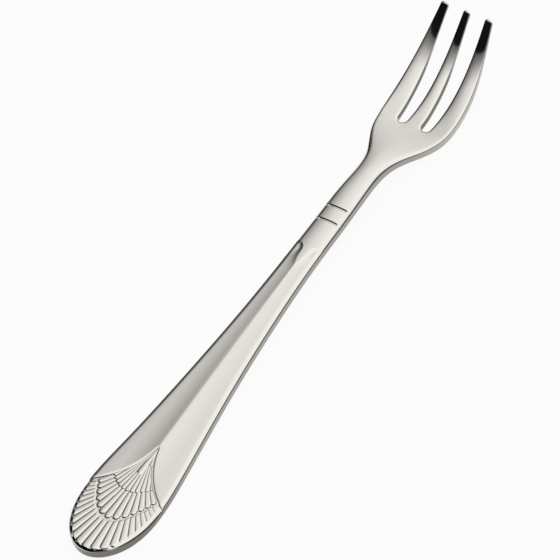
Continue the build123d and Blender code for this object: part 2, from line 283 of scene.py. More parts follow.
# %% [markdown]
# ## Tines
#
# Each tine is rounded over its own width, so that it feels smooth and carries one long streak of light. A
# bevel modifier would round only the edges. A face that falls away with the square of the distance from the
# tine's own middle line rounds all of it, and the rounding can grow slowly out of the bowl.

# %% Rounding of the tines
TINE_CROWN = 0.2
CROWN_GROWTH = (-0.1, 0.35)  # shares of the tine's length, from its root


def tine_rounding(x, y):
    """How far the face of a tine lies below its own middle line."""
    share = np.clip((y - slot_root) / (TIP - slot_root), 0, 1)
    halfway = (slot_outer + OUTER_TIP_INSIDE) / 2 + SLOT_BOW
    inside = np.interp(share, [0, 0.5, 1], [slot_outer, halfway, OUTER_TIP_INSIDE])
    outside = np.interp(y, side[:, 1], side[:, 0])
    off_outer = (np.abs(x) - (inside + outside) / 2) / ((outside - inside) / 2)
    off_middle = x / (slot_inner * (1 - share) + MIDDLE_TIP_HALF * share)
    off = np.where(np.abs(x) > SLOT_MIDDLE, off_outer, off_middle)
    grown = ramp(share, *CROWN_GROWTH) * (y > ROOT - 1)
    return TINE_CROWN * grown * np.minimum(off**2, 1)


print(f"middle tine falls {tine_rounding(0.5, TINE_MIDDLE):.3f} mm at 0.5 mm from its middle line")

# %% [markdown]
# ## Crown, collar and dish
#
# The handle's face is crowned, the head is dished, the tips end in rounded noses, and two fine grooves
# cross the handle as a collar. All this could be sculpted by hand. Adding and taking away heights keeps
# every feature at its measured place, and a soft minimum of crown and flute gives the ridge the round that
# buffing leaves.

# %% Face without the fan, and underside
RIDGE_SOFTNESS = (0.03, 0.1)  # at the start of the flutes and further down
RIDGE_CHANGE = (4.0, 14.0)  # below the start of the flutes
GROOVES = (COLLAR - 1.9, COLLAR + 1.9)
GROOVE_WIDTH = 0.6
GROOVE_DEPTH = 0.28
GROOVE_FADE = (1.9, 2.9)  # from the middle, where the grooves run out
GROOVE_LOSS = 0.75  # share of the depth that is lost there
EDGE_ROLL = 0.06
EDGE_ROLL_SHARE = 0.35
NOSE_RADIUS = 0.7
NOSE_LENGTH = 0.6


def plain_face(x, y):
    """Height of the face without the fan."""
    out = 1 - (2 * x / width_at(y)) ** 2
    crowned = rise_at(y) + thickness_at(y) + crown_at(y) * out
    near, far = RIDGE_SOFTNESS
    soft = near + (far - near) * ramp(FLUTE_START - y, *RIDGE_CHANGE)
    struck = np.minimum(flutes(x, y), crowned + soft)
    mix = np.clip(0.5 + (struck - crowned) / (2 * soft), 0, 1)
    height = crowned * mix + struck * (1 - mix) - soft * mix * (1 - mix)
    height = np.where(y < GROOVES[0], height, crowned)
    groove_depth = GROOVE_DEPTH * (1 - GROOVE_LOSS * ramp(np.abs(x), *GROOVE_FADE))
    for groove in GROOVES:
        height = height - groove_depth * np.clip(1 - (2 * (y - groove) / GROOVE_WIDTH) ** 2, 0, 1)
    nose = np.clip(y - TIP + NOSE_LENGTH, 0, NOSE_LENGTH)
    height = height - NOSE_RADIUS + np.sqrt(NOSE_RADIUS**2 - nose**2)
    rolled = np.clip((2 * np.abs(x) / width_at(y) - 1 + EDGE_ROLL_SHARE) / EDGE_ROLL_SHARE, 0, 1) ** 2
    return height - tine_rounding(x, y) - EDGE_ROLL * rolled * (y < ROOT)


def underside(x, y):
    """Height of the underside, which is worn flat where it stands."""
    out = 1 - (2 * x / width_at(y)) ** 2
    return np.maximum(rise_at(y) - belly_at(y) * out, 0)


print(f"face at the collar {plain_face(0.0, COLLAR):.2f} mm over the table")

# %% [markdown]
# ## The struck fan
#
# The end of the handle carries a fan of petals in three tiers with a leaf in the middle, sunk below the
# flutes inside a curved border with a rolled edge. Each petal is a low rounded rib that widens from the
# centre of its tier to a round end, and each tier lies over the next one out. The field under them is
# crowned, and its rim is chamfered, with the petals flattened along its sides. Modelling some fifty petals
# as objects would leave fifty joints to hide. Taking the highest petal over every point gives one struck
# surface, with the sharp valleys that a die leaves.

# %% Where the petals end
FAN_APEX = END + 29.0
END_ROUND = FAN_WIDEST - END
OUTER_CENTRE = END + 20.0
RIM_LEDGE = (0.5, 0.35)  # plain ledge outside the petals, at the sides and at the end


def to_rim(turn):
    """Distance from the outer tier's centre to the ledge inside the rim."""
    ledge = RIM_LEDGE[0] + (RIM_LEDGE[1] - RIM_LEDGE[0]) * np.cos(turn) ** 4
    across = FAN_WIDTH / 2 - ledge
    along = END_ROUND - ledge
    above = OUTER_CENTRE - FAN_WIDEST
    a = (np.sin(turn) / across) ** 2 + (np.cos(turn) / along) ** 2
    b = above * np.cos(turn) / along**2
    return (b + np.sqrt(b**2 - a * ((above / along) ** 2 - 1))) / a


def to_front(turn, reach, bend):
    """Distance from a tier's centre to its front edge, which is a parabola."""
    return 2 * reach / (np.cos(turn) + np.sqrt(np.cos(turn) ** 2 + 4 * bend * reach * np.sin(turn) ** 2))


print(f"outer petals reach {to_rim(0.0):.2f} mm at the end and {to_rim(1.0):.2f} mm at the sides")

# %% One tier of petals
RIB_HEIGHT = 0.1  # share of a rib's own width
RIB_FLATNESS = 3.0  # 2 would be a plain round, more is flatter on top
PETAL_START = 3.0  # from the tier's centre


def tier(x, y, centre, petals, reach, start=PETAL_START, skirt=np.inf):
    """Height over the field of a tier of petals, spread evenly round its centre."""
    count, step, lift = petals
    widening = radians(step)
    turn = np.arctan2(x, centre - y)
    away = np.hypot(x, centre - y)
    which = np.clip(np.round(turn / widening + (count - 1) / 2), 0, count - 1)
    spine = (which - (count - 1) / 2) * widening
    forward = away * np.cos(turn - spine)
    sideways = away * np.sin(turn - spine)
    held = np.clip(forward, start, reach(spine) / (1 + widening / 2))
    half = widening * held / 2
    off = np.hypot(sideways, forward - held) / half
    rib = lift + 2 * half * RIB_HEIGHT * (1 - off**RIB_FLATNESS)
    return np.where(off < 1, rib, np.maximum(lift - skirt * np.maximum(off - 1, 1e-6) * half, 0))


print(f"a rib 10 mm out from its centre is {radians(6) * 10 * RIB_HEIGHT:.2f} mm high")

# %% Border and rim of the fan
FAN_CORNER = END + 16.0
BORDER_CENTRE = (19.093, END + 33.018)  # of the arc that runs from the apex to the corner
BORDER_RADIUS = 19.511
RIM_CHAMFER = (1.0, 0.6)  # width of the chamfer, at the sides and at the end
RIM_SLOPE = (0.18, 0.75)  # its fall for each mm, at the sides and at the end
RIM_FLATTENING = 0.6
RIM_FLAT_WITHIN = 0.7
RIM_TURN = (0.62, 0.87)  # how far the rim faces sideways, from the end round to the sides
ROUND_FADE = (-2.0, 1.0)  # from the widest place towards the end, where the rim's own shape begins


def from_border(x, y):
    """Distance from the fan's curved border, positive inside the fan."""
    return np.hypot(np.abs(x) - BORDER_CENTRE[0], y - BORDER_CENTRE[1]) - BORDER_RADIUS


def rim(x, y):
    """How far the field falls towards the rim, and how much the petals are flattened there."""
    out = np.hypot(x / (FAN_WIDTH / 2), (y - FAN_WIDEST) / END_ROUND)
    outward = np.stack([x / (FAN_WIDTH / 2) ** 2, (y - FAN_WIDEST) / END_ROUND**2]) / np.maximum(out, 0.1)
    steepness = np.maximum(np.hypot(*outward), 0.01)
    from_rim = np.maximum(1 - out, 0) / steepness
    sideways = ramp(np.abs(outward[0]) / steepness, *RIM_TURN)
    slope = RIM_SLOPE[0] * sideways + RIM_SLOPE[1] * (1 - sideways)
    chamfer = RIM_CHAMFER[0] * sideways + RIM_CHAMFER[1] * (1 - sideways)
    fall = slope * np.maximum(chamfer - from_rim, 0) * ramp(FAN_WIDEST - y, *ROUND_FADE)
    return fall, RIM_FLATTENING * sideways**2 * ramp(chamfer - from_rim, 0, RIM_FLAT_WITHIN)


print(f"the border runs {from_border(0.0, FAN_APEX - 5):.2f} mm beside the middle at 5 mm below the apex")

# %% Petals and field of the fan
# Petals of each tier: how many, degrees from one to the next, mm over the outer tier
OUTER_PETALS = (21, 6.05, 0.0)
MIDDLE_PETALS = (13, 7.2, 0.25)
INNER_PETALS = (11, 6.5, 0.45)
MIDDLE_CENTRE = FAN_APEX - 5.0
INNER_CENTRE = FAN_APEX - 2.2
MIDDLE_FRONT = (15.1, 0.139)  # reach of the tier's front from its centre, and its bend
INNER_FRONT = (10.3, 0.095)
PLAIN_BAND = (0.3, 1.1)  # in front of the middle tier, where the outer petals begin
LEAF_WIDENING = 12.0  # degrees
LEAF_START = 1.2
LEAF_REACH = 7.8
LEAF_LIFT = 0.5
LEAF_RISE = (0.5, 6.0)  # below the apex
LEAF_SKIRT = 0.8
FAN_FIELD = 2.45
FAN_SLOPE = 1.0 / 120.0
FAN_CROWN = 0.35
APEX_RISE = 0.35
APEX_RISE_START = END + 18.0
BORDER_FADE = (0.03, 0.35)  # from the border, where the petals rise


def fan(x, y):
    """Height of the fan's petals and of the field between them."""
    fall, flattened = rim(x, y)
    front = MIDDLE_FRONT[1] * x**2 + (MIDDLE_CENTRE - MIDDLE_FRONT[0]) - y
    outer = tier(x, y, OUTER_CENTRE, OUTER_PETALS, to_rim) * ramp(front, *PLAIN_BAND) * (1 - flattened)
    middle = tier(x, y, MIDDLE_CENTRE, MIDDLE_PETALS, lambda turn: to_front(turn, *MIDDLE_FRONT))
    inner = tier(x, y, INNER_CENTRE, INNER_PETALS, lambda turn: to_front(turn, *INNER_FRONT))
    one_leaf = (1, LEAF_WIDENING, LEAF_LIFT * ramp(FAN_APEX - y, *LEAF_RISE))
    leaf = tier(x, y, FAN_APEX, one_leaf, lambda turn: LEAF_REACH + 0 * turn, LEAF_START, LEAF_SKIRT)
    petals = np.maximum(np.maximum(outer, middle), np.maximum(inner, leaf))
    petals = petals * ramp(from_border(x, y), *BORDER_FADE)
    field = FAN_FIELD + FAN_SLOPE * (y - END) + APEX_RISE * ramp(y, APEX_RISE_START, FAN_APEX)
    return field - FAN_CROWN * (2 * x / FAN_WIDTH) ** 2 + petals - fall


print(f"fan 1 mm below its apex: {fan(0.0, FAN_APEX - 1):.2f} mm")

# %% The whole face
BORDER_ROLLS = ((0.05, 0.8), (0.11, 0.5))  # depth and width of each roll along the border
ROLL_FADE = (-0.3, 0.6)  # below the apex


def face(x, y):
    """Height of the whole face."""
    inside = from_border(x, y)
    rolled = sum(depth * np.clip(1 + inside / width, 0, 1) ** 2 for depth, width in BORDER_ROLLS)
    rolled = rolled * ramp(FAN_APEX - y, *ROLL_FADE)
    return np.where((y < FAN_APEX) & (inside > 0), fan(x, y), plain_face(x, y) - rolled)


print(f"ridge 1 mm above the apex: {face(0.0, FAN_APEX + 1):.2f} mm")

# %% [markdown]
# ## Worn edges
#
# No edge of a buffed fork is sharp. Along the face there is a small bevel and then a wide soft roll,
# underneath there is a small round, and under the slots a chamfer. A bevel modifier would give every edge
# the same round, and would stumble over the fine petals. So the outline is stepped inwards in rings, and
# each ring lies lower than the face by what an arc of the edge says.

# %% Profiles of the edges
# Each arc: tilt of the skin in degrees where it starts and where it ends, its radius, its steps.
# The side wall is tilted by 90 degrees and a flat face by 0.
BEVEL = ((90, 50, 0.1, 2), (50, 40, 1.0, 2), (40, 25, 0.15, 2))
ROLL = ((25, 0, 2.4, 8),)
UNDER_EDGE = ((90, 0, 0.3, 6),)
SLOT_CHAMFER = ((90, 52, 0.15, 2), (52, 50, 36.0, 1), (50, 0, 0.3, 3))


def edge_profile(arcs):
    """Inset, drop and tilt of each ring, from the side wall inwards."""
    inset = [0.0]
    climb = [0.0]
    tilts = [arcs[0][0]]
    for first, last, radius, steps in arcs:
        for tilt in np.linspace(first, last, steps + 1)[1:]:
            before, after = radians(tilts[-1]), radians(tilt)
            inset.append(inset[-1] + radius * (np.sin(before) - np.sin(after)))
            climb.append(climb[-1] + radius * (np.cos(after) - np.cos(before)))
            tilts.append(tilt)
    return np.array(inset), climb[-1] - np.array(climb), np.array(tilts)


bevel_inset, bevel_drop, bevel_tilt = edge_profile(BEVEL)
roll_inset, roll_drop, roll_tilt = edge_profile(ROLL)
round_inset, round_drop, under_tilt = edge_profile(UNDER_EDGE)
slot_inset, slot_drop, _ = edge_profile(SLOT_CHAMFER)
print(f"bevel {bevel_drop[0]:.2f} mm high, roll {roll_drop[0]:.2f} mm, slot chamfer {slot_drop[0]:.2f} mm")

# %% Size of the edge at each point of the outline
FINER_ON_HEAD = 0.4  # share that the edges lose on the way to the head
FINER_AT_TIPS = 0.34  # share that they lose again on the way to the tips
FAN_BEVEL = (1.5, 0.7)  # the bevel's size at the fan's sides and at its end
FAN_BEVEL_TURN = (0.35, 0.75)
FAN_ROLL = 0.06  # the roll's size round the fan
CHAMFER_AT_TIP = 0.35  # the slot chamfer's size at the tips
UNDER_IN_SLOT = 0.2  # size of the round underneath, in the slots
UNDER_ON_TINES = 1.5  # and outside on the tines
PLAIN_TIP = (0.6, 2.2)  # from the tips, where the slots' own edges begin
SLOT_CLEARANCE = 0.25  # what lies further in than this from the outer side is a slot wall

ahead = np.roll(outline, -1, 0) - np.roll(outline, 1, 0)
inwards = np.stack([-ahead[:, 1], ahead[:, 0]], 1) / np.hypot(*ahead.T)[:, None]
along_y = outline[:, 1]
edge_size = 1 - FINER_ON_HEAD * ramp(along_y, FLARE, ROOT) - FINER_AT_TIPS * ramp(along_y, HEAD, TIP - 3)
in_fan = ramp(FAN_WIDEST - along_y, *ROUND_FADE)
to_end = ramp(np.abs(inwards[:, 1]), *FAN_BEVEL_TURN)
bevel_size = edge_size * (1 + in_fan * (FAN_BEVEL[0] - 1 + (FAN_BEVEL[1] - FAN_BEVEL[0]) * to_end))
roll_size = edge_size * (1 + in_fan * (FAN_ROLL - 1))
tine_share = np.clip((along_y - ROOT) / (TIP - ROOT), 0, 1)
outer_side = np.interp(along_y, side[:, 1], side[:, 0])
in_slot = (along_y > ROOT - 0.2) & (np.abs(outline[:, 0]) < outer_side - SLOT_CLEARANCE)
from_tip = ramp(TIP - along_y, *PLAIN_TIP)
slot_size = in_slot * (1 + (CHAMFER_AT_TIP - 1) * tine_share) * from_tip
on_tines = (UNDER_ON_TINES - 1) * ramp(along_y, ROOT - 4, ROOT + 2)
under_size = 1 + np.where(in_slot, UNDER_IN_SLOT - 1, on_tines) * from_tip
print(f"edge size from {edge_size.min():.2f} at the tips to {edge_size.max():.2f} on the handle")

# %% Rings that round the edges
face_insets = [inset * bevel_size for inset in bevel_inset]
face_insets += [face_insets[-1] + inset * roll_size for inset in roll_inset[1:]]
face_drops = [drop * bevel_size + roll_drop[0] * roll_size for drop in bevel_drop]
face_drops += [drop * roll_size for drop in roll_drop[1:]]
face_tilt = np.append(bevel_tilt, roll_tilt[1:])
under_insets = np.outer(round_inset, under_size) + np.outer(slot_inset, slot_size)
under_drops = np.outer(round_drop, under_size) + np.outer(slot_drop, slot_size)
face_rings = [outline + inwards * inset[:, None] for inset in face_insets]
under_rings = [outline + inwards * inset[:, None] for inset in under_insets]
print(f"rings: {len(face_rings)} above and {len(under_rings)} below, of {len(outline)} points")

# %% [markdown]
# ## From heights to a skin
#
# A grid of squares would leave a ragged edge along the outline. The rings follow it exactly, and the room
# inside the last ring is filled with points, close together in the fan and wider apart on the plain face.
# The border of the fan, the ridge and the grooves get points of their own, so that they stay crisp. One of
# Blender's own functions joins them all into even triangles. The underside gets the same treatment, and a
# wall joins the two.

# %% Points inside a ring
ROW_SPACING = 0.87  # of the points' own spacing, as in a grid of even triangles


def rows_inside(ring, first, last, spacing):
    """Points in staggered rows between two places, inside a ring."""
    found = []
    ends = np.roll(ring, -1, 0)
    for number, y in enumerate(np.arange(first, last, spacing * ROW_SPACING)):
        over = (ring[:, 1] > y) != (ends[:, 1] > y)
        a, b = ring[over], ends[over]
        crossings = np.sort(a[:, 0] + (y - a[:, 1]) / (b[:, 1] - a[:, 1]) * (b[:, 0] - a[:, 0]))
        shift = spacing / 2 * (number % 2)
        for start, stop in zip(crossings[::2], crossings[1::2]):
            xs = np.arange(np.ceil((start - shift) / spacing), np.floor((stop - shift) / spacing) + 1)
            found.append(np.stack([xs * spacing + shift, np.full(len(xs), y)], 1))
    return np.concatenate(found)


def clear_of(points, line, distance):
    """The points that keep a distance from every point of a line."""
    tree = KDTree(len(line))
    for k, (x, y) in enumerate(line):
        tree.insert((x, y, 0), k)
    tree.balance()
    return points[[tree.find((x, y, 0))[2] > distance for x, y in points]]


# Each stretch of the face: from where, to where, and how far apart its points lie
FACE_STRETCHES = (
    (END + 0.3, FAN_APEX + 0.5, 0.1),
    (FAN_APEX + 0.5, GRIP - 15, 0.2),
    (GRIP - 15, NECK, 0.13),
    (NECK, TIP - 1.5, 0.2),
    (TIP - 1.5, TIP - 0.2, 0.1),
)
UNDER_STRETCH = (END + 0.3, TIP - 0.3, 0.35)
UNDER_CLEARANCE = 0.1  # from the last ring underneath

face_grid = np.concatenate([rows_inside(face_rings[-1], *stretch) for stretch in FACE_STRETCHES])
under_grid = rows_inside(under_rings[-1], *UNDER_STRETCH)
under_points = clear_of(under_grid, under_rings[-1], UNDER_CLEARANCE)
print(f"points inside: {len(face_grid)} on the face, {len(under_points)} underneath")

# %% Points for the border, the ridge and the grooves
BORDER_GAP = 0.03  # from a line to the points on each side of it
RIDGE_LENGTH = 30.0
GROOVE_STRIP = 0.33  # from the middle of a groove, covered by its own rows
GROOVE_SPAN = 3.2  # from the fork's middle, where those rows start
GROOVE_STEP = 0.12
GROOVE_REACH = 2.6  # from the fork's middle, where they are kept
LINE_CLEARANCE = 0.04  # from the last ring to the points of these lines
GRID_CLEARANCE = 0.055  # from all of them to the points in rows

apex_turn = np.arctan2(FAN_APEX - BORDER_CENTRE[1], -BORDER_CENTRE[0]) + 2 * np.pi
corner_turn = np.arctan2(FAN_CORNER - BORDER_CENTRE[1], FAN_WIDTH / 2 - BORDER_CENTRE[0]) + 2 * np.pi
turns = np.linspace(apex_turn, corner_turn, 210)[1:-1]
border_line = np.concatenate([
    (BORDER_CENTRE + radius * np.stack([np.cos(turns), np.sin(turns)], 1)) * (hand, 1)
    for hand in (1, -1)
    for radius in (BORDER_RADIUS - BORDER_GAP, BORDER_RADIUS + BORDER_GAP)
])
ridge_line = np.stack([np.zeros(200), np.linspace(FAN_APEX + 0.1, FAN_APEX + RIDGE_LENGTH, 200)], 1)
across_groove = np.arange(-GROOVE_SPAN, GROOVE_SPAN + 0.01, GROOVE_STEP)
across_groove = across_groove[np.abs(across_groove) < GROOVE_REACH]
groove_rows = np.array([
    (x, groove + step)
    for groove in GROOVES
    for step in np.linspace(-GROOVE_STRIP, GROOVE_STRIP, 13)
    for x in across_groove
])
own_points = clear_of(np.concatenate([border_line, groove_rows]), face_rings[-1], LINE_CLEARANCE)
own_points = np.concatenate([own_points, ridge_line])
off_grooves = np.all([np.abs(face_grid[:, 1] - groove) > GROOVE_STRIP + BORDER_GAP for groove in GROOVES], 0)
kept_clear = np.concatenate([face_rings[-1], own_points])
grid_points = clear_of(face_grid[off_grooves], kept_clear, GRID_CLEARANCE)
face_points = np.concatenate([grid_points, own_points])
print(f"face: {len(grid_points)} points in rows and {len(own_points)} on its lines")

# %% Layers from the face's last ring round to the underside's
WALL_SHARES = (0.25, 0.5, 0.75)
ring_size = len(outline)
layers = []
for ring, drop in zip(face_rings[::-1], face_drops[::-1]):
    layers.append(np.column_stack([ring, face(*ring.T) - drop]))
under_layers = []
for ring, drop in zip(under_rings, under_drops):
    under_layers.append(np.column_stack([ring, underside(*ring.T) + drop]))
layers += [layers[-1] * (1 - share) + under_layers[0] * share for share in WALL_SHARES]
layers += under_layers
quads = []
for layer in range(len(layers) - 1):
    upper = layer * ring_size
    lower = upper + ring_size
    for k in range(ring_size):
        after = (k + 1) % ring_size
        quads.append((upper + k, lower + k, lower + after, upper + after))
print(f"edges: {len(layers)} layers, {len(quads)} quads")

# %% Join the points into a closed skin
def filled(ring, points):
    """Triangles that fill a ring through the points: numbers below the ring's count are ring points."""
    flat = [Vector(p) for p in np.concatenate([ring, points])]
    _, _, faces, sources, _, _ = delaunay_2d_cdt(flat, [], [list(range(len(ring)))], 1, 1e-5)
    number = [source[0] for source in sources]
    return np.array([[number[k] for k in corners] for corners in faces])


def numbered(triangles, first_ring, first_inside):
    """The same triangles, with their points numbered as in the whole skin."""
    return np.where(triangles < ring_size, triangles + first_ring, triangles - ring_size + first_inside)


face_first = len(layers) * ring_size
under_first = face_first + len(face_points)
skin_points = np.concatenate([
    *layers,
    np.column_stack([face_points, face(*face_points.T)]),
    np.column_stack([under_points, underside(*under_points.T)]),
])
face_triangles = numbered(filled(face_rings[-1], face_points), 0, face_first)
under_triangles = numbered(filled(under_rings[-1], under_points), face_first - ring_size, under_first)
triangles = np.concatenate([face_triangles, under_triangles[:, ::-1]])
print(f"skin: {len(skin_points)} points, {len(quads)} quads, {len(triangles)} triangles")

# %% Make the mesh object
used = np.unique(np.concatenate([np.ravel(quads), triangles.ravel()]))
new_number = np.zeros(len(skin_points), int)
new_number[used] = np.arange(len(used))
skin = bpy.data.meshes.new("fork_skin")
skin_faces = new_number[np.array(quads)].tolist() + new_number[triangles].tolist()
skin.from_pydata((skin_points[used] * MM).tolist(), [], skin_faces)
skin.validate()
skin.polygons.foreach_set("use_smooth", np.ones(len(skin.polygons), bool))
fork = bpy.data.objects.new("fork", skin)
bpy.context.collection.objects.link(fork)
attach(fork, "root")
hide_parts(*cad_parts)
print("fork skin:", [round(1000 * size, 2) for size in fork.dimensions], "mm")

# %% [markdown]
# ## Grey side walls and painted shade
#
# The side wall of a fork is cut by the blanking die, and buffing brightens it less than the face. Its grey
# is partly that satin finish and partly painted shade: the wall mirrors the paper close beside the fork,
# where the fork's shadow lies, so it is greyest at the fan, which lies on the paper, and in the slots, where
# the buff hardly reaches and each wall mirrors the shaded wall of the next tine. A second material on the
# wall would end at a hard line. A number on each point of the skin fades softly, and the material reads it
# as an attribute.

# %% Grey of the side wall: satin finish and painted shade
WALL_TILT = 50.0  # skin that is steeper than this counts as side wall
WALL_FADE = 15.0  # degrees more, for the full grey
# Painted shade: the wall's grey is strongest at the fan, where it mirrors the fork's shadow on the paper,
# and less up the handle and on the head.
LESS_ON_HANDLE = 0.35
LESS_ON_HEAD = 0.3
# Painted shade in the slots, with some real dullness: the slot walls mirror the shaded walls of the next
# tines.
SLOT_DULL_AND_SHADED = (8.0, 13.0)  # from the tips, where the slots turn grey

tilts = np.concatenate([face_tilt[::-1], [90] * len(WALL_SHARES), under_tilt])
wall_grey_and_shade = 1 - LESS_ON_HANDLE * ramp(along_y, END + 5, END + 35) - LESS_ON_HEAD * ramp(along_y, FLARE, HEAD)
slot_dullness_and_shade = in_slot * ramp(TIP - along_y, *SLOT_DULL_AND_SHADED)
wall_grey_and_shade = wall_grey_and_shade + (1 - wall_grey_and_shade) * slot_dullness_and_shade
satin_and_shade = np.concatenate([np.clip((tilt - WALL_TILT) / WALL_FADE, 0, 1) * wall_grey_and_shade for tilt in tilts])
satin_and_shade = np.append(satin_and_shade, np.zeros(len(face_points) + len(under_points)))[used]
# The attribute carries the satin grey of the wall together with its painted shade.
skin.attributes.new("satin_wall_and_painted_shade", "FLOAT", "POINT").data.foreach_set("value", satin_and_shade.astype(np.float32))
print(f"grey on {np.mean(satin_and_shade > 0):.0%} of the points")

# %% [markdown]
# ## Polished stainless steel
#
# Good forks are of 18/10 stainless steel: iron with chromium and nickel, which gives a slightly warm grey
# white. After striking they are buffed with finer and finer paste until they mirror, but a buff never
# leaves a perfect mirror. It leaves faint lines along the fork and a soft cloudiness from washing and
# handling. A flat roughness would look like plastic chrome, so both are drawn in the roughness, and the
# buffing lines in a very low bump.

# %% Helpers for materials
def linear(code):
    """Linear colour of an sRGB hex code."""
    parts = [int(code[k : k + 2], 16) / 255 for k in (1, 3, 5)]
    return [*(p / 12.92 if p <= 0.04045 else ((p + 0.055) / 1.055) ** 2.4 for p in parts), 1]


def add_node(tree, kind, inputs=None, **settings):
    """Adds a node: settings are its properties, and inputs are values or sockets for its own sockets."""
    node = tree.nodes.new(kind)
    for name, value in settings.items():
        setattr(node, name, value)
    for name, value in (inputs or {}).items():
        if isinstance(value, bpy.types.NodeSocket):
            tree.links.new(value, node.inputs[name])
        else:
            node.inputs[name].default_value = value
    return node


def empty_material(name):
    """A material with no nodes yet."""
    made = bpy.data.materials.new(name)
    made.use_nodes = True
    made.node_tree.nodes.clear()
    return made


STEEL_WHITE = linear("#D6D3CD")
# Colour of the side wall: its duller satin finish and painted shade together.
SATIN_GREY_AND_SHADE = linear("#7A7770")
print("buffed steel in linear colour:", [round(part, 3) for part in STEEL_WHITE])

# %% Stainless steel, struck and buffed
# The eye gets a warm grey mirror, a little soft, with fine lines that run along the fork, and a duller side
# wall, greyer by its satin finish and by painted shade.
BUFF_LINE = 0.25  # mm between buffing lines; real ones are about 0.02 mm and would not show
LINE_STRETCH = 0.03  # the lines' width by their length
LINE_DEPTH = 0.002  # mm
LINE_STRENGTH = 0.06
LINE_SHARE = 0.35  # of the lines in the roughness; the rest is clouds
CLOUD = 6.0  # mm across a patch that handling has dulled
BUFFED_ROUGHNESS = (0.04, 0.08)
BLANKED_ROUGHNESS = 0.18  # more than that, on the side wall
NOISE_SPAN = (0.3, 0.7)  # where most values of a noise texture lie

steel = empty_material("stainless_steel_struck_and_buffed")
tree = steel.node_tree
place = add_node(tree, "ShaderNodeTexCoord").outputs["Object"]
stretched = add_node(tree, "ShaderNodeMapping", {"Vector": place, "Scale": (1, LINE_STRETCH, 1)})
lines = add_node(tree, "ShaderNodeTexNoise", {
    "Vector": stretched.outputs["Vector"], "Scale": 1 / (BUFF_LINE * MM), "Detail": 3.0})
cloud = add_node(tree, "ShaderNodeTexNoise", {"Vector": place, "Scale": 1 / (CLOUD * MM), "Detail": 4.0})
both = add_node(tree, "ShaderNodeMix", {
    "Factor": LINE_SHARE, "A": cloud.outputs["Fac"], "B": lines.outputs["Fac"]})
rough = add_node(tree, "ShaderNodeMapRange", {
    "Value": both.outputs["Result"], "From Min": NOISE_SPAN[0], "From Max": NOISE_SPAN[1],
    "To Min": BUFFED_ROUGHNESS[0], "To Max": BUFFED_ROUGHNESS[1]})
bump = add_node(tree, "ShaderNodeBump", {
    "Height": lines.outputs["Fac"], "Strength": LINE_STRENGTH, "Distance": LINE_DEPTH * MM})
# The side wall's grey, partly satin finish and partly painted shade, comes from the skin's attribute.
edge = add_node(tree, "ShaderNodeAttribute", attribute_name="satin_wall_and_painted_shade").outputs["Fac"]
# Sockets 6 and 7 of the mix are its two colours, and its output 2 is the mixed one
tone = add_node(tree, "ShaderNodeMix", {"Factor": edge, 6: STEEL_WHITE, 7: SATIN_GREY_AND_SHADE}, data_type="RGBA")
edge_rough = add_node(tree, "ShaderNodeMath", {
    0: edge, 1: BLANKED_ROUGHNESS, 2: rough.outputs["Result"]}, operation="MULTIPLY_ADD")
surface = add_node(tree, "ShaderNodeBsdfPrincipled", {
    "Base Color": tone.outputs[2], "Metallic": 1.0,
    "Roughness": edge_rough.outputs["Value"], "Normal": bump.outputs["Normal"]})
add_node(tree, "ShaderNodeOutputMaterial", {"Surface": surface.outputs["BSDF"]})
skin.materials.append(steel)
print("material:", steel.name)

# %% [markdown]
# ## Paper under the fork
#
# The fork lies on white backing paper in white surroundings. A lamp that is strong enough to make paper
# look pure white would also burn out the steel. So most of what the camera and the mirroring steel see of
# the paper is a glow of its own, and the rest is plain matt paper, which keeps a faint shadow of the fork.

# %% White surroundings and floor
PAPER_GLOW = 0.92  # share of the glow in what the camera and the steel see of the paper
FLOOR_HALF = 8.0  # metres
FLOOR_DROP = 0.02  # mm under the fork, so that the two never fight for the same place
WHITE = linear("#FFFFFF")

world = bpy.data.worlds.new("white_surroundings")
bpy.context.scene.world = world
world.use_nodes = True
world.node_tree.nodes["Background"].inputs["Color"].default_value = WHITE
world.node_tree.nodes["Background"].inputs["Strength"].default_value = 1.0


def studio(name, points, faces, material):
    """A thing of the studio, from its points in metres."""
    mesh = bpy.data.meshes.new(name)
    mesh.from_pydata(points, [], faces)
    mesh.materials.append(material)
    made = bpy.data.objects.new(name, mesh)
    bpy.context.collection.objects.link(made)
    return made


# The eye gets an even white with a faint shadow of the fork on it.
paper = empty_material("white_backing_paper")
tree = paper.node_tree
matt = add_node(tree, "ShaderNodeBsdfDiffuse", {"Color": linear("#F2F2F1")})
paper_glow = add_node(tree, "ShaderNodeEmission", {"Color": WHITE, "Strength": 1.0})
rays = add_node(tree, "ShaderNodeLightPath").outputs
seen = rays["Is Camera Ray"]
for ray in ("Is Glossy Ray", "Is Transmission Ray"):
    seen = add_node(tree, "ShaderNodeMath", {0: seen, 1: rays[ray]}, operation="MAXIMUM").outputs["Value"]
seen = add_node(tree, "ShaderNodeMath", {0: seen, 1: PAPER_GLOW}, operation="MULTIPLY").outputs["Value"]
sheet = add_node(tree, "ShaderNodeMixShader", {
    0: seen, 1: matt.outputs["BSDF"], 2: paper_glow.outputs["Emission"]})
add_node(tree, "ShaderNodeOutputMaterial", {"Surface": sheet.outputs["Shader"]})
corners = ((-1, -1), (1, -1), (1, 1), (-1, 1))
floor_points = [(x * FLOOR_HALF, y * FLOOR_HALF, -FLOOR_DROP * MM) for x, y in corners]
studio("floor", floor_points, [(0, 1, 2, 3)], paper)
print("floor and surroundings are white")

